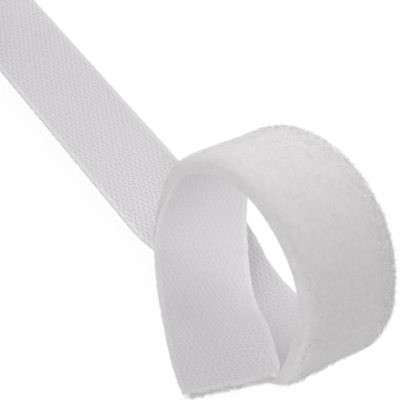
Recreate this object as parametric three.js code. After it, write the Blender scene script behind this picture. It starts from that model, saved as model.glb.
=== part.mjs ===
// Roll of white loop tape: a woven ribbon with a soft loop pile on one face,
// wound on a paperboard core that stands on its rim. The last stretch is drawn
// off along the table, lifts a little, and springs up into an open curl whose
// cut end comes down again in front of the run.
// Millimetres, +Z up. The origin is on the table under the middle of the
// straight run; +X points from the roll to the curl and +Y to the far edge.
import * as THREE from 'three';

// Tape
const TAPE_WIDTH = 25;
const WEB_THICKNESS = 0.8;
const SELVEDGE_WIDTH = 1.4;
const PILE_HEIGHT = 3.6;
const PILE_EDGE_HEIGHT = 1.8;
const PILE_SHOULDER = 4.5;
const PILE_SETBACK = 0.3;
const LAYER_GAP = 0.2;

// Cut end
const SEAL_LENGTH = 0.8;
const SEAL_GAP = 0.2;

// Core
const CORE_OUTER_DIAMETER = 38;
const CORE_WALL = 3;
const CORE_OVERHANG = 0.5;

// Strip that holds the first turn to the core
const TACK_THICKNESS = 0.3;
const TACK_GAP = 0.3;
const TACK_STEPS = 3;
const TACK_WIDTH = 18;

// Winding: the pile is pressed down between the turns, and stands up again on
// the outermost one
const TURNS = 10;
const STEPS_PER_TURN = 24;
const PRESSED_PILE = 1.8;
const TURN_GAP = 0.5;
const LOOSENING_STEPS = 4;

// Route of the free end: a straight run on the table, then equal stretches that
// each bend by one angle toward the woven face and twist by another
const RUN_LENGTH = 150;
const STRETCH_LENGTH = 9.2;
const BEND_AND_TWIST = [
  [36, 5], [-11, -4], [-41, -1.5], [-18, -7], [23.5, 2], [38.5, 5.5],
  [21.5, -3], [11.5, -8.5], [29.5, -6.5], [10, -1],
  [14, 7], [22, 3], [24, 1.5], [22.5, 2.5],
  [25.5, 1], [24.5, 0], [21, 5], [23, 1],
  [12.5, 11], [27.5, 13], [35.5, -2], [25, -0.5], [-15.5, 17], [-28.5, 17.5],
];
const LIFT_STRETCHES = 6;
const RISE_STRETCHES = 8;
const FALL_STRETCHES = 4;
const STEPS_PER_STRETCH = 3;

// Flex lines between the free pieces
const JOIN_GAP = 0.3;
const WEB_FLEX_GAP = 0.4;
const PILE_FLEX_GAP = 2.0;
const TIP_CLEARANCE = 1.0;

const half = TAPE_WIDTH / 2;
const pileBase = WEB_THICKNESS + LAYER_GAP;
const thickness = pileBase + PILE_HEIGHT;
const stretchCount = BEND_AND_TWIST.length;
const degrees = Math.PI / 180;

// Cross-sections as [across, up] points; the woven face is at height 0
function webSection() {
  const w = half - SELVEDGE_WIDTH - LAYER_GAP;
  return [[-w, 0], [-w, -WEB_THICKNESS], [w, -WEB_THICKNESS], [w, 0]];
}

function selvedgeSection(side) {
  const inner = half - SELVEDGE_WIDTH;
  const points = [[inner, 0], [inner, -WEB_THICKNESS], [half, -WEB_THICKNESS], [half, 0]];
  return points.map(([w, n]) => [side * w, n]);
}

function pileSection() {
  const root = half - SELVEDGE_WIDTH - LAYER_GAP;
  const belly = half - PILE_SETBACK;
  const crown = PILE_HEIGHT - PILE_EDGE_HEIGHT;
  const right = [[root, -pileBase], [belly, -pileBase - 2 * LAYER_GAP]];
  for (let k = 0; k <= 3; k += 1) {
    const a = k * 30 * degrees;
    const w = belly - PILE_SHOULDER * (1 - Math.cos(a));
    right.push([w, -pileBase - PILE_EDGE_HEIGHT - crown * Math.sin(a)]);
  }
  const left = right.map(([w, n]) => [-w, n]).reverse();
  return [...right, ...left];
}

function sealSection() {
  return [[-half, 0], [-half, -WEB_THICKNESS], [half, -WEB_THICKNESS], [half, 0]];
}

function woundWebSection() {
  const t = WEB_THICKNESS / 2;
  const right = [[half - t, 0], [half, -t], [half - t, -2 * t]];
  const left = right.map(([w, n]) => [-w, n]).reverse();
  return [...right, ...left];
}

function woundPileSection(height) {
  const root = half - SELVEDGE_WIDTH;
  const belly = half - PILE_SETBACK;
  const mid = -pileBase - height / 2;
  const low = -pileBase - height;
  const right = [[root, -pileBase], [belly, mid], [root, low]];
  const left = right.map(([w, n]) => [-w, n]).reverse();
  return [...right, ...left];
}

// A frame on the tape: point on the woven face, direction along the tape,
// direction across it, and the woven face's outward normal
function makeFrame(point, along, across, normal) {
  return { point, along, across, normal };
}

function follow(frame, length, bend, twist, distance) {
  const spin = frame.across.clone().multiplyScalar((-bend * degrees) / length);
  spin.addScaledVector(frame.along, (twist * degrees) / length);
  const rate = spin.length();
  if (rate < 1e-9) {
    const ahead = frame.point.clone().addScaledVector(frame.along, distance);
    return makeFrame(ahead, frame.along.clone(), frame.across.clone(), frame.normal.clone());
  }
  const axis = spin.divideScalar(rate);
  const steady = axis.clone().multiplyScalar(axis.dot(frame.along));
  const swing = frame.along.clone().sub(steady);
  const side = axis.clone().cross(frame.along);
  const point = frame.point.clone().addScaledVector(steady, distance);
  point.addScaledVector(swing, Math.sin(rate * distance) / rate);
  point.addScaledVector(side, (1 - Math.cos(rate * distance)) / rate);
  const turn = new THREE.Quaternion().setFromAxisAngle(axis, rate * distance);
  const rotated = (v) => v.clone().applyQuaternion(turn);
  return makeFrame(point, rotated(frame.along), rotated(frame.across), rotated(frame.normal));
}

// Frames at the start of the straight run and of every stretch
const runStart = makeFrame(
  new THREE.Vector3(-RUN_LENGTH / 2, 0, thickness),
  new THREE.Vector3(1, 0, 0),
  new THREE.Vector3(0, 1, 0),
  new THREE.Vector3(0, 0, 1),
);
const stretchStarts = [follow(runStart, RUN_LENGTH, 0, 0, RUN_LENGTH)];
for (const [bend, twist] of BEND_AND_TWIST) {
  const from = stretchStarts[stretchStarts.length - 1];
  stretchStarts.push(follow(from, STRETCH_LENGTH, bend, twist, STRETCH_LENGTH));
}

// Frame at a distance from the end of the straight run (negative on the run)
function frameAt(s) {
  if (s <= 0) {
    return follow(runStart, RUN_LENGTH, 0, 0, RUN_LENGTH + s);
  }
  const index = Math.min(Math.floor(s / STRETCH_LENGTH + 1e-9), stretchCount - 1);
  const [bend, twist] = BEND_AND_TWIST[index];
  return follow(stretchStarts[index], STRETCH_LENGTH, bend, twist, s - index * STRETCH_LENGTH);
}

function placed(frame, [w, n]) {
  return frame.point.clone().addScaledVector(frame.across, w).addScaledVector(frame.normal, n);
}

// Distances of the steps between two places on the route, and of other places
// that lie between them
function stepsBetween(from, to, others = []) {
  const step = STRETCH_LENGTH / STEPS_PER_STRETCH;
  const list = [from];
  const first = Math.max(0, Math.ceil(from / step));
  for (let k = first; k * step < to; k += 1) {
    if (k * step > from + step / 4 && k * step < to - step / 4) {
      list.push(k * step);
    }
  }
  list.push(to, ...others.filter((s) => s > from && s < to));
  return list.sort((a, b) => a - b);
}

// Closed solid through a row of equal rings of points
function solidThrough(rings) {
  const count = rings[0].length;
  const points = rings.flat();
  const faces = [];
  for (let r = 0; r + 1 < rings.length; r += 1) {
    for (let k = 0; k < count; k += 1) {
      const a = r * count + k;
      const b = r * count + ((k + 1) % count);
      faces.push(a, b, b + count);
      faces.push(a, b + count, a + count);
    }
  }
  const last = (rings.length - 1) * count;
  for (let k = 1; k + 1 < count; k += 1) {
    faces.push(0, k + 1, k);
    faces.push(last, last + k, last + k + 1);
  }
  let volume = 0;
  for (let f = 0; f < faces.length; f += 3) {
    const [a, b, c] = [points[faces[f]], points[faces[f + 1]], points[faces[f + 2]]];
    volume += a.dot(b.clone().cross(c));
  }
  if (volume < 0) {
    faces.reverse();
  }
  const geometry = new THREE.BufferGeometry();
  const values = points.flatMap((p) => p.toArray());
  geometry.setAttribute('position', new THREE.Float32BufferAttribute(values, 3));
  geometry.setIndex(faces);
  geometry.computeVertexNormals();
  return geometry;
}

function tapeSolid(section, from, to, others) {
  const rings = stepsBetween(from, to, others).map((s) => {
    const frame = frameAt(s);
    return section.map((point) => placed(frame, point));
  });
  return solidThrough(rings);
}

// Materials
const woven = { color: 0xe2e0e3, roughness: 0.85, metalness: 0 };
const selvedge = { color: 0xe6e4e6, roughness: 0.8, metalness: 0 };
const pile = { color: 0xe9e7e9, roughness: 0.95, metalness: 0 };
const board = { color: 0xb8a483, roughness: 0.9, metalness: 0 };
const film = { color: 0xe4dfcf, roughness: 0.45, metalness: 0 };

const roll = new THREE.Group();

function add(name, geometry, look) {
  const mesh = new THREE.Mesh(geometry, new THREE.MeshStandardMaterial(look));
  mesh.name = name;
  roll.add(mesh);
  return mesh;
}

// Winding on the core: an even spiral whose woven face looks at the axis, and
// whose last point is the start of the run
const layerPitch = pileBase + PRESSED_PILE + TURN_GAP;
const coreRadius = CORE_OUTER_DIAMETER / 2;
const innerRadius = coreRadius + 2 * TACK_GAP + TACK_THICKNESS;
const outerRadius = innerRadius + layerPitch * TURNS;
const axisX = -RUN_LENGTH / 2;
const axisZ = thickness + outerRadius;
const stepAngle = (2 * Math.PI) / STEPS_PER_TURN;
const stepCount = TURNS * STEPS_PER_TURN;

function spiralFrame(step) {
  const angle = -Math.PI / 2 - (stepCount - step) * stepAngle;
  const radius = innerRadius + (layerPitch * step) / STEPS_PER_TURN;
  const out = new THREE.Vector3(Math.cos(angle), 0, Math.sin(angle));
  const point = new THREE.Vector3(axisX, 0, axisZ).addScaledVector(out, radius);
  const along = new THREE.Vector3(-out.z, 0, out.x);
  return makeFrame(point, along, new THREE.Vector3(0, 1, 0), out.clone().negate());
}

function spiralRings(sectionAt) {
  const rings = [];
  for (let step = 0; step <= stepCount; step += 1) {
    const frame = spiralFrame(step);
    rings.push(sectionAt(step).map((point) => placed(frame, point)));
  }
  return rings;
}

function pileHeightAt(step) {
  const loose = (step - (stepCount - STEPS_PER_TURN)) / LOOSENING_STEPS;
  return PRESSED_PILE + (PILE_HEIGHT - PRESSED_PILE) * Math.min(1, Math.max(0, loose));
}

function leastGap(rings) {
  let least = Infinity;
  for (let a = 0; a < rings.length; a += 1) {
    const end = Math.min(rings.length, a + 2 * STEPS_PER_TURN);
    for (let b = a + STEPS_PER_TURN / 2; b < end; b += 1) {
      for (const p of rings[a]) {
        for (const q of rings[b]) {
          least = Math.min(least, p.distanceTo(q));
        }
      }
    }
  }
  return least;
}

const coreHalf = half + CORE_OVERHANG;
const coreProfile = [
  [coreRadius - CORE_WALL, -coreHalf], [coreRadius, -coreHalf],
  [coreRadius, coreHalf], [coreRadius - CORE_WALL, coreHalf],
  [coreRadius - CORE_WALL, -coreHalf],
].map(([r, y]) => new THREE.Vector2(r, y));
const coreTube = add('core_tube', new THREE.LatheGeometry(coreProfile, 2 * STEPS_PER_TURN), board);
coreTube.position.set(axisX, 0, axisZ);

const tackSection = [
  [-TACK_WIDTH / 2, -TACK_GAP], [-TACK_WIDTH / 2, -TACK_GAP - TACK_THICKNESS],
  [TACK_WIDTH / 2, -TACK_GAP - TACK_THICKNESS], [TACK_WIDTH / 2, -TACK_GAP],
];
const tackRings = [];
for (let step = 0; step <= TACK_STEPS; step += 1) {
  const frame = spiralFrame(step);
  frame.point.set(axisX, 0, axisZ).addScaledVector(frame.normal, -coreRadius);
  tackRings.push(tackSection.map((point) => placed(frame, point)));
}
add('start_tack', solidThrough(tackRings), film);

const woundWeb = spiralRings(() => woundWebSection());
const woundPile = spiralRings((step) => woundPileSection(pileHeightAt(step)));
add('wound_web', solidThrough(woundWeb), woven);
add('wound_pile', solidThrough(woundPile), pile);
console.log(`least gap of the wound web to itself: ${leastGap(woundWeb).toFixed(2)} mm`);
console.log(`least gap of the wound pile to itself: ${leastGap(woundPile).toFixed(2)} mm`);

// Free end: flex lines at the foot of the curl, at its top and above the tip
const footLine = LIFT_STRETCHES * STRETCH_LENGTH;
const topLine = footLine + RISE_STRETCHES * STRETCH_LENGTH;
const tipLine = topLine + FALL_STRETCHES * STRETCH_LENGTH;
const routeEnd = stretchCount * STRETCH_LENGTH;

// The tip stops where its end would come closer to the rising wall than its
// clearance
function facePoints(from, to) {
  const list = [];
  for (let s = from; s <= to; s += 1) {
    const frame = frameAt(s);
    for (let w = -half; w <= half + 1e-6; w += half / 12) {
      list.push(placed(frame, [w, 0]));
    }
  }
  return list;
}

const endOutline = [...sealSection(), ...pileSection()];
const wallPoints = facePoints(footLine, topLine);

function gapToWall(s) {
  const frame = frameAt(s);
  let least = Infinity;
  for (const point of endOutline) {
    const p = placed(frame, point);
    for (const q of wallPoints) {
      least = Math.min(least, p.distanceToSquared(q));
    }
  }
  return Math.sqrt(least);
}

let tipEnd = tipLine + STRETCH_LENGTH;
while (tipEnd + 0.2 <= routeEnd && gapToWall(tipEnd + 0.2) >= TIP_CLEARANCE) {
  tipEnd += 0.2;
}
console.log(`tip ends ${tipEnd.toFixed(1)} mm from the straight run`);
console.log(`tip end clear of the wall by ${gapToWall(tipEnd).toFixed(2)} mm`);

const pieces = [
  { name: 'run', from: -RUN_LENGTH, to: footLine, first: true },
  { name: 'rise', from: footLine, to: topLine },
  { name: 'fall', from: topLine, to: tipLine },
  { name: 'tip', from: tipLine, to: tipEnd, last: true },
];

for (const piece of pieces) {
  const seal = SEAL_LENGTH + SEAL_GAP;
  const webFrom = piece.from + (piece.first ? JOIN_GAP : WEB_FLEX_GAP / 2);
  const webTo = piece.to - (piece.last ? seal : WEB_FLEX_GAP / 2);
  const pileFrom = piece.from + (piece.first ? JOIN_GAP : PILE_FLEX_GAP / 2);
  const pileTo = piece.to - (piece.last ? 0 : PILE_FLEX_GAP / 2);
  const shared = [pileFrom, pileTo, webTo];
  add(`${piece.name}_web`, tapeSolid(webSection(), webFrom, webTo, shared), woven);
  add(`${piece.name}_selvedge_near`, tapeSolid(selvedgeSection(-1), webFrom, webTo, shared), selvedge);
  add(`${piece.name}_selvedge_far`, tapeSolid(selvedgeSection(1), webFrom, webTo, shared), selvedge);
  add(`${piece.name}_pile`, tapeSolid(pileSection(), pileFrom, pileTo, shared), pile);
}
add('tip_end_seal', tapeSolid(sealSection(), tipEnd - SEAL_LENGTH, tipEnd), selvedge);

export default roll;
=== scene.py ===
# White loop tape: a woven ribbon with a napped loop pile, drawn off a small roll and sprung up
# into a curl. The looks are built along the same route as the solids, in metres, +Z up.
import math

import bpy
import numpy as np
from mathutils import Matrix, Vector


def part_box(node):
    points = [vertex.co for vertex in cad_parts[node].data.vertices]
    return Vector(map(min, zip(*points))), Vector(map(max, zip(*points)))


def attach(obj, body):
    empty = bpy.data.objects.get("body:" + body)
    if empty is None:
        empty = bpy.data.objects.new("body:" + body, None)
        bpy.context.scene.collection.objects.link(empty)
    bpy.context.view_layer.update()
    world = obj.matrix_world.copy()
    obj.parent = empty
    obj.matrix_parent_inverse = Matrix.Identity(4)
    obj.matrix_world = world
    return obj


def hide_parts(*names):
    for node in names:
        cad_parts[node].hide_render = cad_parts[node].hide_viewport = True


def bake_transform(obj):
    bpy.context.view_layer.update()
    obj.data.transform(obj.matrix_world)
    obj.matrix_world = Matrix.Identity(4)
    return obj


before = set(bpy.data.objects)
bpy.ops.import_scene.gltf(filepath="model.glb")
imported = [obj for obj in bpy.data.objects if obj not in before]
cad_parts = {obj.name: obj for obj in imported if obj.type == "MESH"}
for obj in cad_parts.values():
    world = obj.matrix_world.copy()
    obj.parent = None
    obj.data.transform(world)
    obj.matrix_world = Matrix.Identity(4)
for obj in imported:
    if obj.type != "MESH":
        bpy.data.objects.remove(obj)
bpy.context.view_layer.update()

# Tape
TAPE_WIDTH = 0.025
WEB_THICKNESS = 0.0008
BOND_GAP = 0.0002
SELVEDGE_WIDTH = 0.0014
SEAL_LENGTH = 0.0008
TABLE_CLEARANCE = 0.0001

# Weave: waves of its crowns, as turns per millimetre along and across the tape, shares of the height
# on the run and on the curl, and phase in degrees
WEAVE_WAVES = [
    (0.312, 0.618, 0.22, 0.14, 0), (0.305, -0.742, 0.28, 0.22, 0),
    (0.929, 0.494, 0.35, 0.08, 130), (0.007, 1.360, 0.15, 0.18, -40),
]
WEAVE_RELIEF = 0.0002
WEAVE_SHIFT = 0.035
WEAVE_SHIFT_SCALE = 7.0
ROW_STEP = 0.00031
COLUMN_STEP = 0.00024

# Unevenness of the selvedges' outer edge, and the share of the relief that is left there
EDGE_WOBBLE = 0.00009
EDGE_WOBBLE_LENGTH = 0.0016
EDGE_RELIEF = 0.2

# Strength of the weave by distance, for its relief and its painted gap shade: stronger on the run, to match
# the grazing light there, and weaker on the curl
STRONG_WEAVE = 0.9
SOFT_WEAVE = 0.5
WEAVE_STRENGTH = [
    (-0.020, 1.1), (0.005, 1.4), (0.025, 1.3), (0.036, STRONG_WEAVE),
    (0.060, SOFT_WEAVE), (0.185, SOFT_WEAVE), (0.212, 0.6),
]

# Route of the free end: straight run, then stretches that each bend and twist by these degrees
RUN_LENGTH = 0.150
STRETCH_LENGTH = 0.0092
BEND_AND_TWIST = [
    (36, 5), (-11, -4), (-41, -1.5), (-18, -7), (23.5, 2), (38.5, 5.5),
    (21.5, -3), (11.5, -8.5), (29.5, -6.5), (10, -1),
    (14, 7), (22, 3), (24, 1.5), (22.5, 2.5),
    (25.5, 1), (24.5, 0), (21, 5), (23, 1),
    (12.5, 11), (27.5, 13), (35.5, -2), (25, -0.5), (-15.5, 17), (-28.5, 17.5),
]
LIFT_STRETCHES = 6
RISE_STRETCHES = 8
FALL_STRETCHES = 4
TIP_LENGTH = 0.0550
FLEX_REACH = 0.005

# Winding
TURNS = 10
STEPS_PER_TURN = 96
PRESSED_PILE = 0.0018
TURN_GAP = 0.0005
GAP_FILL = 0.0004
FIRST_TURN_GAP = 0.0009
LOOSENING_TURN = 0.17
WOUND_BELLY = 0.0122
WOUND_ROOT = 0.0006
WOUND_DRIFT = 0.00012
DRIFT_TURNS = 1.3
SIDE_COLUMNS = 7

# Core
CORE_BORE_RADIUS = 0.016
CORE_RIM_EASE = 0.0004
CORE_STEPS = 144

# Pile: its section, and its lumps as height and length
PILE_HEIGHT = 0.0036
PILE_EDGE_HEIGHT = 0.0018
PILE_SHOULDER = 0.0045
RIM_OVERHANG = 0.0001
RIM_TUCK = 0.0006
ROOT_SINK = 0.0002
SHOULDER_POINTS = 8
CROWN_POINTS = 13
CEILING_POINTS = 26
NAP_DEPTH = 0.00025
LUMPS = [(0.00008, 0.0060), (0.00004, 0.0026)]
PILE_STEP = 0.001

# Fibre loops: radius of the loop and of its fibre, arc and lean in degrees; densities per square millimetre
NAP_LOOPS = (0.0003, 0.000015, 200, 60)
TUFT_LOOPS = (0.00045, 0.00006, 110, 40)
CUT_STRANDS = (0.0012, 0.00003, 80, 25)
LOOP_DENSITY = {"run": 0.7, "crest": 3.6, "tip": 2.6, "wound": 0.75}
STRAND_DENSITY = 16
LOOP_GROWTH = (0.65, 1.35)
LOOP_START = math.radians(-15)
LOOP_POINTS = 5
FIBRE_SIDES = 3

# Tufts: kind, reach along the tape, columns of the pile and density
TUFTS = [
    ("far", (0.045, 0.230), slice(-11, -1), 1.8),
    ("near", (0.074, 0.118), slice(4, 8), 0.5),
    ("foot", (0.067, 0.085), slice(5, -5), 0.9),
]

# Seeds of the random draws
SEEDS = {
    "fused_end": 5, "drift": 8, "free_pile": 11, "wound_pile": 13, "loops": 21, "near_tufts": 31,
    "far_tufts": 36, "wound_loops": 41, "foot_tufts": 46, "strands": 51, "selvedge": 61,
}

# Cut end: lead of its far corner, the fused bead, and the pile past it as distance, fullness and root
CUT_LEAD = 0.0017
CUT_REACH = 0.012
BEAD_SWELL = 0.00006
BEAD_SWELL_LENGTH = 0.002
BEAD_ROUNDING = [0.0, 0.00004, 0.00010, 0.00028]
BEAD_SINK = 0.00002
FRINGE_ROWS = [
    (-0.0004, 1.0, 0.0005), (0.0003, 0.98, 0.0008), (0.0007, 0.94, 0.0011),
    (0.0010, 0.85, 0.0015), (0.0012, 0.70, 0.0019),
]
STRAND_AHEAD = 0.0005
STRAND_REACH = 0.0120
STRAND_DEPTHS = [0.0011, 0.0034]

# Pile fullness: distance, extra crown height, half widths at the near and far bellies, depth of its root
PILE_SHAPE = [
    (-0.150, 0.0, 0.0118, 0.0118, 0.0006), (0.020, 0.0, 0.0118, 0.0118, 0.0006),
    (0.062, -0.0002, 0.0126, 0.0121, 0.00012), (0.100, -0.0002, 0.0126, 0.0121, 0.00012),
    (0.120, 0.0, 0.0126, 0.0121, 0.00012), (0.150, 0.0002, 0.0126, 0.0121, 0.00012),
    (0.162, 0.0002, 0.0125, 0.0121, 0.0002), (0.172, 0.0, 0.0121, 0.0121, 0.0006),
    (0.230, 0.0, 0.0120, 0.0120, 0.0006),
]

# Camera, from the fit to the edges of the photograph
CAMERA_POINT = (0.16029, -0.05586, 0.19176)
CAMERA_RIGHT = (0.6198, 0.7846, 0.0158)
CAMERA_DOWN = (0.6953, -0.5398, -0.4745)
FOCAL_PIXELS = 725.575
IMAGE_PIXELS = 400
SENSOR_WIDTH = 36.0

# Lamps: name, place and power; all are wide and aimed at the curl
LAMP_TARGET = (0.115, 0, 0.03)
LAMP_SIZE = 1.0
LAMPS = [
    ("near_light", (0.607, -0.852, 0.718), 10.10),
    ("far_light", (-0.517, 0.754, 0.718), 7.80),
    ("left_light", (-1.013, 0.000, 0.440), 6.10),
    ("right_light", (0.397, 1.050, 0.538), 5.80),
]

# Table: half its side, its grey for light and for the camera, and the glow that whitens it by distance
TABLE_REACH = 3.0
TABLE_BOUNCE = 0.7
TABLE_SHADE = 0.16
TABLE_GLOW = {"From Min": 0.3, "From Max": 1.2, "To Min": 0.88, "To Max": 1.0}
WORLD_LIGHT = 0.06
WORLD_SEEN = 1.0

# Finish of every material
SPECULAR_LEVEL = 0.2
BUMP_DISTANCE = 0.0001

NOISE_WAVES = 9
NOISE_RANGE = 3.6
SHARP_ANGLE = math.radians(50)
CM_PER_M = 100
MM_PER_M = 1000

half_width = TAPE_WIDTH / 2
web_half = half_width - SELVEDGE_WIDTH
tape_thickness = WEB_THICKNESS + PILE_HEIGHT + BOND_GAP
foot_line = LIFT_STRETCHES * STRETCH_LENGTH
top_line = foot_line + RISE_STRETCHES * STRETCH_LENGTH
tip_line = top_line + FALL_STRETCHES * STRETCH_LENGTH
tip_end = tip_line + TIP_LENGTH
wall_split = (foot_line + top_line) / 2
fall_split = (top_line + tip_line) / 2


# Route of the tape
def stretch_frames(start, bend, twist, distances):
    """Points and axes along one stretch of steady bend and twist."""
    point, along, across, normal = start
    spin = (math.radians(twist) * along - math.radians(bend) * across) / STRETCH_LENGTH
    rate = max(np.linalg.norm(spin), 1e-9)
    axis = spin / rate
    steady = axis * (axis @ along)
    swing = along - steady
    side = np.cross(axis, along)
    turn = rate * np.asarray(distances, float)
    sine, cosine = np.sin(turn), np.cos(turn)
    points = point + np.outer(distances, steady)
    points = points + np.outer(sine / rate, swing) + np.outer((1 - cosine) / rate, side)

    def turned(v):
        kept = np.outer(1 - cosine, axis * (axis @ v))
        return np.outer(cosine, v) + np.outer(sine, np.cross(axis, v)) + kept

    return points, turned(along), turned(across), turned(normal)


run_axes = (np.array([1.0, 0, 0]), np.array([0, 1.0, 0]), np.array([0, 0, 1.0]))
run_end = (np.array([RUN_LENGTH / 2, 0, tape_thickness]), *run_axes)
stretch_starts = [run_end]
for turn_pair in BEND_AND_TWIST:
    reached = stretch_frames(stretch_starts[-1], *turn_pair, [STRETCH_LENGTH])
    stretch_starts.append(tuple(values[0] for values in reached))


def frames_along(distances):
    """Points and axes of the tape at distances from the end of the straight run."""
    distances = np.asarray(distances, float)
    result = [np.empty((len(distances), 3)) for _ in range(4)]
    last = len(BEND_AND_TWIST) - 1
    index = np.clip(np.floor(distances / STRETCH_LENGTH), -1, last).astype(int)
    for k in np.unique(index):
        chosen = index == k
        ahead = distances[chosen] - max(k, 0) * STRETCH_LENGTH
        bend_twist = BEND_AND_TWIST[k] if k >= 0 else (0, 0)
        frames = stretch_frames(stretch_starts[max(k, 0)], *bend_twist, ahead)
        for target, values in zip(result, frames):
            target[chosen] = values
    return result


def placed(frames, across, up, ahead=0.0):
    """Grid of points at offsets across, up and ahead from the woven face, one row for each frame."""
    points, along, side, normal = frames
    rows = len(points)
    across = np.broadcast_to(across, (rows, np.shape(across)[-1]))
    result = points[:, None]
    for axes, offsets in ((side, across), (normal, up), (along, ahead)):
        result = result + axes[:, None] * np.broadcast_to(offsets, across.shape)[..., None]
    return result


def cut_lead(distances, across):
    """How far the slanted cut draws the last rows of the tape ahead."""
    share = np.clip(1 - (tip_end - np.asarray(distances, float)) / CUT_REACH, 0, 1)
    return CUT_LEAD * share[:, None] * (np.atleast_2d(across) + half_width) / TAPE_WIDTH


def on_tape(distance):
    return Vector(frames_along([distance])[0][0])


# Winding of the roll
core_low, core_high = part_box("core_tube")
roll_x = (core_low.x + core_high.x) / 2
roll_z = (core_low.z + core_high.z) / 2
core_radius = (core_high.x - core_low.x) / 2
layer_pitch = WEB_THICKNESS + BOND_GAP + PRESSED_PILE + TURN_GAP
inner_radius = core_radius + FIRST_TURN_GAP


def spiral_frames(turns):
    """Points and axes of the wound tape after a number of turns from the core."""
    turns = np.asarray(turns, float)
    angle = -math.pi / 2 - (TURNS - turns) * 2 * math.pi
    zero = np.zeros_like(turns)
    out = np.stack([np.cos(angle), zero, np.sin(angle)], 1)
    radius = inner_radius + layer_pitch * turns
    points = np.array([roll_x, 0, roll_z]) + out * radius[:, None]
    along = np.stack([-out[:, 2], zero, out[:, 0]], 1)
    across = np.broadcast_to(np.array([0, 1.0, 0]), out.shape)
    return points, along, across, -out


# Small helpers for meshes
def soft_noise(u, v, wavelength, seed):
    """Smooth noise from about -1 to 1 on two lengths, from waves of fixed random directions."""
    random = np.random.default_rng(seed)
    total = np.zeros(np.broadcast(u, v).shape)
    for _ in range(NOISE_WAVES):
        heading = random.uniform(0, 2 * math.pi)
        number = 2 * math.pi / (wavelength * random.uniform(0.6, 1.7))
        phase = random.uniform(0, 2 * math.pi)
        total = total + np.sin(number * (u * math.cos(heading) + v * math.sin(heading)) + phase)
    return total / NOISE_RANGE


def new_object(name, points, faces, material, uv=None):
    """Smooth mesh object, with its lengths across and along in centimetres as UV where they are given."""
    mesh = bpy.data.meshes.new(name)
    mesh.from_pydata(np.asarray(points).reshape(-1, 3).tolist(), [], faces)
    mesh.update()
    if uv is not None:
        corners = np.empty(len(mesh.loops), np.int32)
        mesh.loops.foreach_get("vertex_index", corners)
        layer = mesh.uv_layers.new(name="tape")
        lengths = np.asarray(uv * CM_PER_M, np.float32).reshape(-1, 2)
        layer.data.foreach_set("uv", lengths[corners].ravel())
    mesh.shade_smooth()
    mesh.set_sharp_from_angle(angle=SHARP_ANGLE)
    mesh.materials.append(material)
    obj = bpy.data.objects.new(name, mesh)
    bpy.context.scene.collection.objects.link(obj)
    return obj


def grid_faces(rows, count, closed):
    ids = np.arange(rows * count).reshape(rows, count)
    if closed:
        ids = np.concatenate([ids, ids[:, :1]], 1)
    corners = (ids[:-1, :-1], ids[:-1, 1:], ids[1:, 1:], ids[1:, :-1])
    return np.stack(corners, -1).reshape(-1, 4).tolist()


def ring_winding(rings):
    """Above zero where the middle ring turns about the row direction, below where it turns against it."""
    middle = len(rings) // 2
    ring = rings[middle]
    ahead = rings[min(middle + 1, len(rings) - 1)].mean(0) - rings[max(middle - 1, 0)].mean(0)
    spokes = ring - ring.mean(0)
    return np.cross(spokes, np.roll(spokes, -1, 0)).sum(0) @ ahead


def lofted(name, rings, material, uv=None):
    """Closed solid through rows of equal rings."""
    rows, count = rings.shape[:2]
    faces = grid_faces(rows, count, True)
    first = list(range(count))
    last = list(range((rows - 1) * count, rows * count))
    faces += [first[::-1], last]
    if ring_winding(rings) < 0:
        faces = [face[::-1] for face in faces]
    return new_object(name, rings, faces, material, uv)


# Weave
def weave_height(across, along, strengths):
    """Height from 0 to 1 of the woven face at offsets across and along."""
    curl = np.clip((STRONG_WEAVE - strengths[:, None]) / (STRONG_WEAVE - SOFT_WEAVE), 0, 1)
    total = 0
    for wave_along, wave_across, run_share, curl_share, phase in WEAVE_WAVES:
        share = run_share + (curl_share - run_share) * curl
        turns = MM_PER_M * (wave_along * along[:, None] + wave_across * across[None, :])
        total = total + share * np.cos(2 * math.pi * turns + math.radians(phase))
    return 0.5 + 0.5 * total


def weave_strength(distances):
    return np.interp(distances, *zip(*WEAVE_STRENGTH))


def give_strength(obj, strengths):
    """Strength of the weave on each point, for the cloth's material."""
    layer = obj.data.attributes.new("weave_strength", "FLOAT", "POINT")
    count = len(obj.data.vertices) // len(strengths)
    layer.data.foreach_set("value", np.repeat(strengths, count).astype(np.float32))
    return obj


def steps_between(start, end, step):
    return np.linspace(start, end, round((end - start) / step) + 1)


def woven_band(name, start, end, material):
    """Closed woven band between the selvedges, with the weave as real relief."""
    rows = steps_between(start, end, ROW_STEP)
    across = steps_between(-web_half, web_half, COLUMN_STEP)
    strengths = weave_strength(rows)
    relief = (weave_height(across, rows, strengths) - 1) * WEAVE_RELIEF * strengths[:, None]
    under = np.linspace(across[-1], across[0], 5)
    wide = np.concatenate([across, under])
    up = np.concatenate([relief, np.full((len(rows), len(under)), -WEB_THICKNESS)], 1)
    uv = np.stack(np.broadcast_arrays(wide[None, :], rows[:, None]), -1)
    rings = placed(frames_along(rows), wide, up, cut_lead(rows, wide))
    return give_strength(lofted(name, rings, material, uv), strengths)


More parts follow.
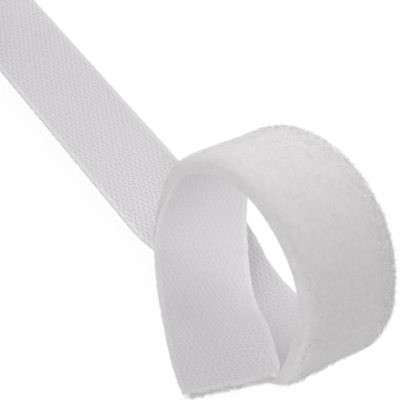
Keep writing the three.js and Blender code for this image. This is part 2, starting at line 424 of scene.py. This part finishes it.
def edge_band(name, start, end, side, material):
    """Selvedge: a close-woven band with a rounded outer edge."""
    rows = steps_between(start, end, ROW_STEP)
    across = steps_between(web_half, half_width - WEB_THICKNESS / 2, COLUMN_STEP)
    strengths = weave_strength(rows)
    fade = np.outer(strengths, np.linspace(1, EDGE_RELIEF, len(across)))
    relief = (weave_height(side * across, rows, strengths) - 1) * WEAVE_RELIEF * fade
    bend = np.radians(np.array([30, 60, 90, 120, 150]))
    round_across = across[-1] + np.sin(bend) * WEB_THICKNESS / 2
    round_up = np.cos(bend) * WEB_THICKNESS / 2 - WEB_THICKNESS / 2
    wide = np.concatenate([across, round_across, [across[-1], across[0]]])
    under = np.concatenate([round_up, [-WEB_THICKNESS, -WEB_THICKNESS]])
    up = np.concatenate([relief, np.tile(under, (len(rows), 1))], 1)
    uv = np.stack(np.broadcast_arrays(side * wide[None, :], rows[:, None]), -1)
    outward_share = np.clip((wide - web_half) / (half_width - web_half), 0, 1)
    wobble = EDGE_WOBBLE * soft_noise(rows, 0 * rows, EDGE_WOBBLE_LENGTH, SEEDS["selvedge"] + side)
    edge_across = side * (wide[None, :] + np.outer(wobble, outward_share))
    rings = placed(frames_along(rows), edge_across, up, cut_lead(rows, side * wide))
    return give_strength(lofted(name, rings, material, uv), strengths)


# Pile
def half_outline(height, belly, root):
    """Offsets outward and down of half of the pile's outer face, from its root to the crown's middle."""
    height, belly, root = (np.asarray(values, float)[:, None] for values in (height, belly, root))
    bend = np.radians(np.linspace(0, 90, SHOULDER_POINTS))
    arc_out = belly - PILE_SHOULDER * (1 - np.cos(bend))[None, :]
    crown = (belly - PILE_SHOULDER) * np.linspace(1, 0, CROWN_POINTS)[None, 1:]
    rim = np.minimum(belly, half_width + RIM_OVERHANG)
    full = WEB_THICKNESS + height
    edge = WEB_THICKNESS + np.minimum(PILE_EDGE_HEIGHT, 0.5 * height)
    arc_depth = edge + (full - edge) * np.sin(bend)[None, :]
    out = np.concatenate([rim - RIM_TUCK, rim, arc_out, crown], 1)
    crown_depth = np.repeat(full, crown.shape[1], 1)
    depth = np.concatenate([root + ROOT_SINK, root, arc_depth, crown_depth], 1)
    return out, depth


def pile_outline(height, near_belly, far_belly, root):
    """Across and up offsets of the pile's outer face, from its near root over the crown to its far root."""
    near_out, near_depth = half_outline(height, near_belly, root)
    far_out, far_depth = half_outline(height, far_belly, root)
    across = np.concatenate([-near_out, far_out[:, -2::-1]], 1)
    depth = np.concatenate([near_depth, far_depth[:, -2::-1]], 1)
    return across, -depth


def outward(across, up):
    """Directions in the section, pointing away from the pile's root line."""
    push = np.stack([across * 0.6, up + 0.5 * WEB_THICKNESS], -1)
    return push / np.maximum(np.linalg.norm(push, axis=-1, keepdims=True), 1e-6)


def pile_grid(distances, height, sides, frames, seed):
    """Rows of points on the napped outer face, a little lumpy and never below the table."""
    across, up = pile_outline(height, *sides)
    away = outward(across, up)
    reach = np.cumsum(np.hypot(np.diff(across, axis=1, prepend=0), np.diff(up, axis=1, prepend=0)), 1)
    along = distances[:, None]
    lumps = sum(
        lump_height * soft_noise(reach, along, lump_length, seed + k)
        for k, (lump_height, lump_length) in enumerate(LUMPS)
    )
    lumps[:, [0, 1, -2, -1]] = 0
    across = across + away[..., 0] * lumps
    grid = placed(frames, across, up + away[..., 1] * lumps, cut_lead(distances, across))
    grid[..., 2] = np.maximum(grid[..., 2], TABLE_CLEARANCE)
    return grid


def with_ceiling(grid):
    """Rings closed by points across the hidden face, under the web."""
    part = np.linspace(0, 1, CEILING_POINTS)[1:-1]
    ceiling = grid[:, -1:] * (1 - part)[None, :, None] + grid[:, :1] * part[None, :, None]
    return np.concatenate([grid, ceiling], 1)


def loop_tree():
    """Node tree that plants fibre loops on a surface."""
    tree = bpy.data.node_groups.new("pile_loops", "GeometryNodeTree")
    face = tree.interface
    face.new_socket("Geometry", in_out="INPUT", socket_type="NodeSocketGeometry")
    for name in ("Density", "Loop Radius", "Fibre Radius", "Arc", "Lean"):
        face.new_socket(name, in_out="INPUT", socket_type="NodeSocketFloat")
    face.new_socket("Seed", in_out="INPUT", socket_type="NodeSocketInt")
    face.new_socket("Material", in_out="INPUT", socket_type="NodeSocketMaterial")
    face.new_socket("Geometry", in_out="OUTPUT", socket_type="NodeSocketGeometry")
    nodes, links = tree.nodes, tree.links
    given = nodes.new("NodeGroupInput").outputs

    def socket(sockets, name):
        return next(s for s in sockets if s.name == name and s.enabled)

    scatter = nodes.new("GeometryNodeDistributePointsOnFaces")
    links.new(given["Geometry"], scatter.inputs["Mesh"])
    links.new(given["Density"], socket(scatter.inputs, "Density"))
    links.new(given["Seed"], scatter.inputs["Seed"])
    arc = nodes.new("GeometryNodeCurveArc")
    arc.inputs["Resolution"].default_value = LOOP_POINTS
    arc.inputs["Start Angle"].default_value = LOOP_START
    links.new(given["Loop Radius"], socket(arc.inputs, "Radius"))
    links.new(given["Arc"], socket(arc.inputs, "Sweep Angle"))
    stand = nodes.new("GeometryNodeTransform")
    stand.inputs["Rotation"].default_value = (math.radians(90), 0, 0)
    links.new(arc.outputs["Curve"], stand.inputs["Geometry"])
    thread = nodes.new("GeometryNodeCurvePrimitiveCircle")
    thread.inputs["Resolution"].default_value = FIBRE_SIDES
    links.new(given["Fibre Radius"], socket(thread.inputs, "Radius"))
    tube = nodes.new("GeometryNodeCurveToMesh")
    links.new(stand.outputs["Geometry"], tube.inputs["Curve"])
    links.new(thread.outputs["Curve"], tube.inputs["Profile Curve"])
    least = nodes.new("ShaderNodeCombineXYZ")
    most = nodes.new("ShaderNodeCombineXYZ")
    other_way = math_step(tree, "MULTIPLY", given["Lean"], -1)
    for name in ("X", "Y"):
        links.new(other_way, least.inputs[name])
        links.new(given["Lean"], most.inputs[name])
    most.inputs["Z"].default_value = 2 * math.pi
    lean = nodes.new("FunctionNodeRandomValue")
    lean.data_type = "FLOAT_VECTOR"
    links.new(least.outputs[0], socket(lean.inputs, "Min"))
    links.new(most.outputs[0], socket(lean.inputs, "Max"))
    links.new(given["Seed"], socket(lean.inputs, "Seed"))
    turn = nodes.new("FunctionNodeEulerToRotation")
    links.new(socket(lean.outputs, "Value"), turn.inputs[0])
    pose = nodes.new("FunctionNodeRotateRotation")
    pose.rotation_space = "LOCAL"
    links.new(scatter.outputs["Rotation"], pose.inputs[0])
    links.new(turn.outputs[0], pose.inputs[1])
    grow = nodes.new("FunctionNodeRandomValue")
    grow.data_type = "FLOAT"
    for label, value in zip(("Min", "Max"), LOOP_GROWTH):
        socket(grow.inputs, label).default_value = value
    plant = nodes.new("GeometryNodeInstanceOnPoints")
    links.new(scatter.outputs["Points"], plant.inputs["Points"])
    links.new(tube.outputs["Mesh"], plant.inputs["Instance"])
    links.new(pose.outputs[0], plant.inputs["Rotation"])
    links.new(socket(grow.outputs, "Value"), plant.inputs["Scale"])
    real = nodes.new("GeometryNodeRealizeInstances")
    links.new(plant.outputs["Instances"], real.inputs["Geometry"])
    paint = nodes.new("GeometryNodeSetMaterial")
    links.new(real.outputs["Geometry"], paint.inputs["Geometry"])
    links.new(given["Material"], paint.inputs["Material"])
    links.new(paint.outputs["Geometry"], nodes.new("NodeGroupOutput").inputs["Geometry"])
    return tree


def planted(name, grid, material, density, form, seed):
    """Mesh of fibre loops on an open grid of points, by way of the node tree of loops."""
    loop_radius, fibre_radius, arc, lean = form
    rows, count = grid.shape[:2]
    surface = new_object(name, grid, grid_faces(rows, count, False), material)
    modifier = surface.modifiers.new("loops", "NODES")
    modifier.node_group = loops
    values = {
        "Density": density * MM_PER_M ** 2, "Loop Radius": loop_radius, "Fibre Radius": fibre_radius,
        "Arc": math.radians(arc), "Lean": math.radians(lean), "Seed": seed, "Material": material,
    }
    for item in loops.interface.items_tree:
        if item.in_out == "INPUT" and item.name in values:
            modifier[item.identifier] = values[item.name]
    depsgraph = bpy.context.evaluated_depsgraph_get()
    result = bpy.data.meshes.new_from_object(surface.evaluated_get(depsgraph))
    surface.modifiers.clear()
    surface.data = result
    result.name = name
    return surface


def pressed_on_table(obj):
    """Fibres that would reach under the table lie on it."""
    mesh = obj.data
    points = np.empty(len(mesh.vertices) * 3, np.float32)
    mesh.vertices.foreach_get("co", points)
    points = points.reshape(-1, 3)
    points[:, 2] = np.maximum(points[:, 2], TABLE_CLEARANCE)
    mesh.vertices.foreach_set("co", points.ravel())
    mesh.update()


# Materials
def node_group(name, inputs, outputs):
    group = bpy.data.node_groups.new(name, "ShaderNodeTree")
    for label, kind in inputs:
        group.interface.new_socket(label, in_out="INPUT", socket_type=kind)
    for label, kind in outputs:
        group.interface.new_socket(label, in_out="OUTPUT", socket_type=kind)
    return group, group.nodes.new("NodeGroupInput"), group.nodes.new("NodeGroupOutput")


def math_step(tree, operation, *values):
    """Output of one maths node on sockets or numbers."""
    node = tree.nodes.new("ShaderNodeMath")
    node.operation = operation
    for socket, value in zip(node.inputs, values):
        if isinstance(value, (int, float)):
            socket.default_value = value
        else:
            tree.links.new(value, socket)
    return node.outputs[0]


def make_yarn_group():
    """Uneven tone and fine filaments of spun yarn, drawn out along one direction."""
    group, given, result = node_group(
        "yarn_tone",
        [("Vector", "NodeSocketVector"), ("Stretch", "NodeSocketVector"), ("Depth", "NodeSocketFloat")],
        [("Tone", "NodeSocketFloat"), ("Height", "NodeSocketFloat")],
    )
    nodes, links = group.nodes, group.links
    stretch = nodes.new("ShaderNodeVectorMath")
    stretch.operation = "MULTIPLY"
    links.new(given.outputs["Vector"], stretch.inputs[0])
    links.new(given.outputs["Stretch"], stretch.inputs[1])
    fine = nodes.new("ShaderNodeTexNoise")
    fine.inputs["Scale"].default_value = 1.0
    fine.inputs["Detail"].default_value = 3.0
    links.new(stretch.outputs[0], fine.inputs["Vector"])
    spread = nodes.new("ShaderNodeMapRange")
    spread.inputs["From Min"].default_value = 0.3
    spread.inputs["From Max"].default_value = 0.7
    links.new(fine.outputs["Fac"], spread.inputs["Value"])
    centred = math_step(group, "SUBTRACT", spread.outputs["Result"], 0.5)
    tone = math_step(group, "MULTIPLY_ADD", centred, given.outputs["Depth"], 1.0)
    links.new(tone, result.inputs["Tone"])
    links.new(spread.outputs["Result"], result.inputs["Height"])
    return group


def make_weave_group():
    """Crowns of the weave, on lengths across and along in centimetres, with painted shade that darkens the
    gaps between them.
    """
    group, given, result = node_group(
        "weave_crowns_and_gap_shade",
        [("Vector", "NodeSocketVector"), ("Depth", "NodeSocketFloat"), ("Strength", "NodeSocketFloat")],
        [("Tone", "NodeSocketFloat"), ("Height", "NodeSocketFloat")],
    )
    nodes, links = group.nodes, group.links
    uneven = nodes.new("ShaderNodeTexNoise")
    uneven.inputs["Scale"].default_value = WEAVE_SHIFT_SCALE
    links.new(given.outputs["Vector"], uneven.inputs["Vector"])
    centred = nodes.new("ShaderNodeVectorMath")
    centred.operation = "SUBTRACT"
    centred.inputs[1].default_value = (0.5, 0.5, 0.5)
    links.new(uneven.outputs["Color"], centred.inputs[0])
    shifted = nodes.new("ShaderNodeVectorMath")
    shifted.operation = "MULTIPLY_ADD"
    shifted.inputs[1].default_value = (WEAVE_SHIFT, WEAVE_SHIFT, 0)
    links.new(centred.outputs[0], shifted.inputs[0])
    links.new(given.outputs["Vector"], shifted.inputs[2])
    curl = nodes.new("ShaderNodeMapRange")
    curl.inputs["From Min"].default_value = STRONG_WEAVE
    curl.inputs["From Max"].default_value = SOFT_WEAVE
    links.new(given.outputs["Strength"], curl.inputs["Value"])
    depth = math_step(group, "MULTIPLY", given.outputs["Depth"], given.outputs["Strength"])
    turn = 2 * math.pi * MM_PER_M / CM_PER_M
    height = 0.5
    for wave_along, wave_across, run_share, curl_share, phase in WEAVE_WAVES:
        turns = nodes.new("ShaderNodeVectorMath")
        turns.operation = "DOT_PRODUCT"
        turns.inputs[1].default_value = (wave_across * turn, wave_along * turn, 0)
        links.new(shifted.outputs[0], turns.inputs[0])
        angle = math_step(group, "ADD", turns.outputs["Value"], math.radians(phase))
        change = 0.5 * (curl_share - run_share)
        share = math_step(group, "MULTIPLY_ADD", curl.outputs["Result"], change, 0.5 * run_share)
        height = math_step(group, "MULTIPLY_ADD", math_step(group, "COSINE", angle), share, height)
    # Painted shade: the tone runs from 1 on the crowns down to 1 - depth in the gaps between them.
    dark = math_step(group, "SUBTRACT", 1.0, depth)
    links.new(math_step(group, "MULTIPLY_ADD", height, depth, dark), result.inputs["Tone"])
    links.new(height, result.inputs["Height"])
    return group


def make_material(name, colour, roughness, stretch, depth, bump=0.0, uses_uv=False, gap_shade_depth=0.0):
    """Cloth, nap or board whose tone and grain come from the shared groups; on cloth the weave group adds
    painted shade in the gaps between its crowns.
    """
    material = bpy.data.materials.new(name)
    material.use_nodes = True
    tree = material.node_tree
    nodes, links = tree.nodes, tree.links
    shader = nodes["Principled BSDF"]
    shader.inputs["Roughness"].default_value = roughness
    shader.inputs["Specular IOR Level"].default_value = SPECULAR_LEVEL
    place = nodes.new("ShaderNodeUVMap") if uses_uv else nodes.new("ShaderNodeTexCoord")
    where = place.outputs["UV" if uses_uv else "Object"]
    grain = nodes.new("ShaderNodeGroup")
    grain.node_tree = yarn_group
    grain.inputs["Stretch"].default_value = stretch
    grain.inputs["Depth"].default_value = depth
    links.new(where, grain.inputs["Vector"])
    tone, height = grain.outputs["Tone"], grain.outputs["Height"]
    # Painted shade in the gaps of the weave, deeper where the weave strength is higher.
    if gap_shade_depth:
        weave = nodes.new("ShaderNodeGroup")
        weave.node_tree = weave_group
        strength = nodes.new("ShaderNodeAttribute")
        strength.attribute_name = "weave_strength"
        weave.inputs["Depth"].default_value = gap_shade_depth
        links.new(strength.outputs["Fac"], weave.inputs["Strength"])
        links.new(math_step(tree, "MULTIPLY", strength.outputs["Fac"], depth), grain.inputs["Depth"])
        links.new(where, weave.inputs["Vector"])
        tone = math_step(tree, "MULTIPLY", tone, weave.outputs["Tone"])
        height = math_step(tree, "ADD", height, weave.outputs["Height"])
    tint = nodes.new("ShaderNodeMix")
    tint.data_type = "RGBA"
    tint.blend_type = "MULTIPLY"
    tint.inputs["Factor"].default_value = 1.0
    tint.inputs["A"].default_value = (*colour, 1)
    links.new(tone, tint.inputs["B"])
    links.new(tint.outputs["Result"], shader.inputs["Base Color"])
    relief = nodes.new("ShaderNodeBump")
    relief.inputs["Strength"].default_value = bump
    relief.inputs["Distance"].default_value = BUMP_DISTANCE
    links.new(height, relief.inputs["Height"])
    links.new(relief.outputs["Normal"], shader.inputs["Normal"])
    return material


yarn_group = make_yarn_group()
weave_group = make_weave_group()
# The woven and selvedge materials carry painted shade in the gaps of their weave.
woven = make_material(
    "plain_woven", (0.808, 0.791, 0.813), 0.8, (29, 26, 1), 0.32, bump=0.4, uses_uv=True,
    gap_shade_depth=0.24)
selvedge = make_material(
    "selvedge_weave", (0.83, 0.813, 0.834), 0.8, (29, 26, 1), 0.24, bump=0.4, uses_uv=True,
    gap_shade_depth=0.16)
nap = make_material("pile_nap", (0.752, 0.737, 0.748), 0.95, (800, 800, 500), 0.06, bump=0.5)
fibre = make_material("pile_fibre", (0.832, 0.817, 0.828), 0.9, (260, 260, 260), 0.04)
# Tufts and cut strands take a lighter copy of the fibre colour: painted light that offsets the shade among
# the strands.
loose_fibre_painted_light = make_material("loose_fibre_painted_light", (0.94, 0.923, 0.936), 0.95, (420, 420, 420), 0.1, bump=0.1)
fused = make_material("fused_end", (0.77, 0.755, 0.77), 0.5, (2200, 2200, 2200), 0.12, bump=0.5)
board = make_material("paperboard", (0.40, 0.315, 0.21), 0.9, (40, 6, 1), 0.25, bump=0.5, uses_uv=True)
film = make_material("tack_film", (0.73, 0.69, 0.576), 0.45, (300, 300, 300), 0.08, bump=0.1)

loops = loop_tree()

# Free end: three lengths of tape, each across one flex line
tape_lengths = [
    ("run", -RUN_LENGTH, wall_split, "roll_and_run", "rise", foot_line),
    ("crest", wall_split, fall_split, "rise", "fall", top_line),
    ("tip", fall_split, tip_end - SEAL_LENGTH, "fall", "tip", tip_line),
]
stood_for = {"run": ["run"], "crest": ["rise", "fall"], "tip": ["tip"]}


def bend_with(obj, line):
    on_tape(line - FLEX_REACH)
    on_tape(line + FLEX_REACH)
    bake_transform(obj)


def free_pile(spots, fullness, root=None):
    """Rows of the pile's outer face on a length of the free end."""
    known, *shape = zip(*PILE_SHAPE)
    extra, near_belly, far_belly, depth = (np.interp(spots, known, values) for values in shape)
    height = (PILE_HEIGHT - NAP_DEPTH + extra) * fullness
    sides = (near_belly, far_belly, depth if root is None else root)
    return pile_grid(spots, height, sides, frames_along(spots), SEEDS["free_pile"])


def tufts(name, grid, spots, order):
    """Tufts that stand out on some columns of the pile, each kind within its reach along the tape."""
    made = []
    for kind, (first, last), columns, density in TUFTS:
        chosen = grid[(spots > first) & (spots < last), columns]
        if len(chosen) > 1:
            seed = SEEDS[kind + "_tufts"] + order
            made.append(planted(f"{name}_{kind}_tufts", chosen, loose_fibre_painted_light, density, TUFT_LOOPS, seed))
    return made


def cut_fringe(name):
    """Pile that stands out past the cut: a soft core and a brush of strands on its end."""
    ahead, fullness, root = np.array(FRINGE_ROWS).T
    core = lofted(name + "_core", with_ceiling(free_pile(tip_end + ahead, fullness, root)), fibre)
    across = np.linspace(STRAND_REACH, -STRAND_REACH, 41)
    frames = frames_along([tip_end + STRAND_AHEAD])
    lead = cut_lead([tip_end], across)
    depths = np.linspace(*STRAND_DEPTHS, 4)
    face = np.concatenate([placed(frames, across, -depth, lead) for depth in depths])
    strands = planted(name + "_strands", face, loose_fibre_painted_light, STRAND_DENSITY, CUT_STRANDS, SEEDS["strands"])
    return core, strands


for order, (name, start, end, first, second, line) in enumerate(tape_lengths):
    web = woven_band(name + "_cloth", start, end, woven)
    near_edge = edge_band(name + "_edge_near", start, end, -1, selvedge)
    far_edge = edge_band(name + "_edge_far", start, end, 1, selvedge)
    last = tip_end if name == "tip" else end
    spots = steps_between(start, last, PILE_STEP)
    grid = free_pile(spots, 1.0)
    body = lofted(name + "_nap", with_ceiling(grid), nap)
    fuzz = planted(name + "_loops", grid, fibre, LOOP_DENSITY[name], NAP_LOOPS, SEEDS["loops"] + order)
    soft = [fuzz] + tufts(name, grid, spots, order)
    if name == "tip":
        soft += cut_fringe("tip_fringe")
    for piece in soft:
        pressed_on_table(piece)
    pieces = [
        (web, "web", "woven"),
        (near_edge, "selvedge_near", "selvedge"),
        (far_edge, "selvedge_far", "selvedge"),
    ]
    pieces += [(piece, "pile", "pile") for piece in [body] + soft]
    for piece, kind, slot in pieces:
        bend_with(piece, line)
        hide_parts(*[f"{part}_{kind}" for part in stood_for[name]])


# Fused cut end
def fused_end(name):
    """Melted bead across the cut, a little uneven."""
    distances = np.linspace(tip_end - SEAL_LENGTH, tip_end, 4)
    across = np.linspace(-half_width, half_width, 61)
    swell = BEAD_SWELL * soft_noise(across, 0 * across, BEAD_SWELL_LENGTH, SEEDS["fused_end"])
    wide = np.concatenate([across, across[::-1]])
    rounding = np.array(BEAD_ROUNDING)
    top = swell[None, :] - rounding[:, None] - BEAD_SINK
    under = -WEB_THICKNESS + rounding[:, None] + 0 * top
    frames = frames_along(distances)
    ahead = cut_lead(distances, wide)
    ahead[-1] += 1.5 * np.concatenate([swell, swell[::-1]])
    rings = placed(frames, wide, np.concatenate([top, under[:, ::-1]], 1), ahead)
    return lofted(name, rings, fused)


seal = fused_end("tip_fused_end")
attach(seal, "tip")
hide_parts("tip_end_seal")


# Roll
roll_turns = np.linspace(0, TURNS, TURNS * STEPS_PER_TURN + 1)
roll_lengths = 2 * math.pi * (inner_radius * roll_turns + layer_pitch * roll_turns ** 2 / 2)


def wound_web(name):
    """Wound woven band, its turns drifting a little sideways."""
    edge_round = np.radians(np.linspace(-90, 90, 5))
    web_across = half_width - WEB_THICKNESS / 2 * (1 - np.cos(edge_round))
    web_up = WEB_THICKNESS / 2 * (np.sin(edge_round) - 1)
    drift = WOUND_DRIFT * soft_noise(roll_turns, 0 * roll_turns, DRIFT_TURNS, SEEDS["drift"])[:, None]
    across = np.concatenate([web_across, -web_across[::-1]])[None, :] + drift
    up = np.concatenate([web_up, web_up[::-1]])
    uv = np.stack(np.broadcast_arrays(across, roll_lengths[:, None]), -1)
    return lofted(name, placed(spiral_frames(roll_turns), across, up), woven, uv)


wound_cloth = give_strength(wound_web("wound_cloth"), np.ones(len(roll_turns)))
loose = np.clip((roll_turns - (TURNS - 1)) / LOOSENING_TURN, 0, 1)
pressed_height = PRESSED_PILE + GAP_FILL
wound_height = pressed_height + (PILE_HEIGHT - NAP_DEPTH - pressed_height) * loose
wound_sides = [np.full(len(roll_turns), value) for value in (WOUND_BELLY, WOUND_BELLY, WOUND_ROOT)]
wound_grid = pile_grid(
    roll_lengths, wound_height, wound_sides, spiral_frames(roll_turns), SEEDS["wound_pile"])
wound_nap = lofted("wound_nap", wound_grid, nap)
wound_faces = {
    "outer": wound_grid[-STEPS_PER_TURN - 1:],
    "near": wound_grid[:, :SIDE_COLUMNS],
    "far": wound_grid[:, -SIDE_COLUMNS:],
}
wound_pieces = [(wound_cloth, "wound_web", "woven"), (wound_nap, "wound_pile", "pile")]
for order, (name, face) in enumerate(wound_faces.items()):
    seed = SEEDS["wound_loops"] + order
    fuzz = planted(f"wound_{name}_loops", face, fibre, LOOP_DENSITY["wound"], NAP_LOOPS, seed)
    pressed_on_table(fuzz)
    wound_pieces.append((fuzz, "wound_pile", "pile"))
for piece, node, slot in wound_pieces:
    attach(piece, "roll_and_run")
    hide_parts(node)


# Core
def paper_core(name):
    """Tube with softened rims."""
    reach, ease = core_high.y, CORE_RIM_EASE
    profile = [
        (core_radius, -reach + ease), (core_radius, reach - ease), (core_radius - ease, reach),
        (CORE_BORE_RADIUS + ease, reach), (CORE_BORE_RADIUS, reach - ease),
        (CORE_BORE_RADIUS, -reach + ease), (CORE_BORE_RADIUS + ease, -reach), (core_radius - ease, -reach),
    ]
    angle = np.linspace(0, 2 * math.pi, CORE_STEPS, endpoint=False)
    radius, height = np.array(profile).T
    points = np.stack([
        roll_x + np.outer(np.cos(angle), radius),
        np.broadcast_to(height, (CORE_STEPS, len(profile))),
        roll_z + np.outer(np.sin(angle), radius),
    ], -1)
    points = np.concatenate([points, points[:1]])
    rows, count = points.shape[:2]
    girth = np.linspace(0, 2 * math.pi * core_radius, rows)
    uv = np.stack(np.broadcast_arrays(girth[:, None], height[None, :]), -1)
    return new_object(name, points, grid_faces(rows, count, True), board, uv)


core = paper_core("paper_core")
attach(core, "roll_and_run")
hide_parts("core_tube")
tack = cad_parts["start_tack"]
tack.data.materials.clear()
tack.data.materials.append(film)


# Floor, light and camera
def make_floor():
    """White table that the camera sees as white, with the tape's soft shadow on it."""
    size = TABLE_REACH
    corners = [(-size, -size, 0), (size, -size, 0), (size, size, 0), (-size, size, 0)]
    material = bpy.data.materials.new("white_table")
    material.use_nodes = True
    tree = material.node_tree
    nodes, links = tree.nodes, tree.links
    nodes.clear()
    path = nodes.new("ShaderNodeLightPath").outputs
    seen = math_step(tree, "MAXIMUM", path["Is Camera Ray"], path["Is Glossy Ray"])
    seen = math_step(tree, "MAXIMUM", seen, path["Is Transmission Ray"])
    bounce = nodes.new("ShaderNodeBsdfDiffuse")
    bounce.inputs["Color"].default_value = (TABLE_BOUNCE, TABLE_BOUNCE, TABLE_BOUNCE, 1)
    shade = nodes.new("ShaderNodeBsdfDiffuse")
    shade.inputs["Color"].default_value = (TABLE_SHADE, TABLE_SHADE, TABLE_SHADE, 1)
    place = nodes.new("ShaderNodeTexCoord")
    away = nodes.new("ShaderNodeVectorMath")
    away.operation = "LENGTH"
    links.new(place.outputs["Object"], away.inputs[0])
    level = nodes.new("ShaderNodeMapRange")
    for label, value in TABLE_GLOW.items():
        level.inputs[label].default_value = value
    links.new(away.outputs["Value"], level.inputs["Value"])
    glow = nodes.new("ShaderNodeEmission")
    links.new(level.outputs["Result"], glow.inputs["Strength"])
    white = nodes.new("ShaderNodeAddShader")
    links.new(shade.outputs[0], white.inputs[0])
    links.new(glow.outputs[0], white.inputs[1])
    pick = nodes.new("ShaderNodeMixShader")
    links.new(seen, pick.inputs["Fac"])
    links.new(bounce.outputs[0], pick.inputs[1])
    links.new(white.outputs[0], pick.inputs[2])
    links.new(pick.outputs[0], nodes.new("ShaderNodeOutputMaterial").inputs["Surface"])
    floor = new_object("table_top", corners, [[0, 1, 2, 3]], material)


def make_world():
    world = bpy.data.worlds.new("studio")
    world.use_nodes = True
    nodes, links = world.node_tree.nodes, world.node_tree.links
    back = nodes["Background"]
    back.inputs["Color"].default_value = (1, 1, 1, 1)
    path = nodes.new("ShaderNodeLightPath")
    level = nodes.new("ShaderNodeMapRange")
    level.inputs["To Min"].default_value = WORLD_LIGHT
    level.inputs["To Max"].default_value = WORLD_SEEN
    links.new(path.outputs["Is Camera Ray"], level.inputs["Value"])
    links.new(level.outputs["Result"], back.inputs["Strength"])
    bpy.context.scene.world = world


def soft_lamp(name, place, target, size, power):
    lamp = bpy.data.lights.new(name, "AREA")
    lamp.shape = "DISK"
    lamp.size = size
    lamp.energy = power
    obj = bpy.data.objects.new(name, lamp)
    obj.location = place
    obj.rotation_mode = "QUATERNION"
    obj.rotation_quaternion = (Vector(target) - Vector(place)).to_track_quat("-Z", "Y")
    bpy.context.scene.collection.objects.link(obj)


def make_camera():
    camera = bpy.data.cameras.new("photo_camera")
    camera.sensor_width = SENSOR_WIDTH
    camera.lens = FOCAL_PIXELS / IMAGE_PIXELS * SENSOR_WIDTH
    camera.clip_start = 0.005
    camera.clip_end = 20
    right = Vector(CAMERA_RIGHT).normalized()
    up = -Vector(CAMERA_DOWN).normalized()
    back = right.cross(up).normalized()
    up = back.cross(right)
    turn = Matrix((right, up, back)).transposed().to_4x4()
    obj = bpy.data.objects.new("photo_camera", camera)
    obj.matrix_world = Matrix.Translation(CAMERA_POINT) @ turn
    bpy.context.scene.collection.objects.link(obj)
    bpy.context.scene.camera = obj


make_floor()
make_world()
for lamp_name, lamp_place, lamp_power in LAMPS:
    soft_lamp(lamp_name, lamp_place, LAMP_TARGET, LAMP_SIZE, lamp_power)
make_camera()
bpy.context.scene.view_settings.view_transform = "Standard"
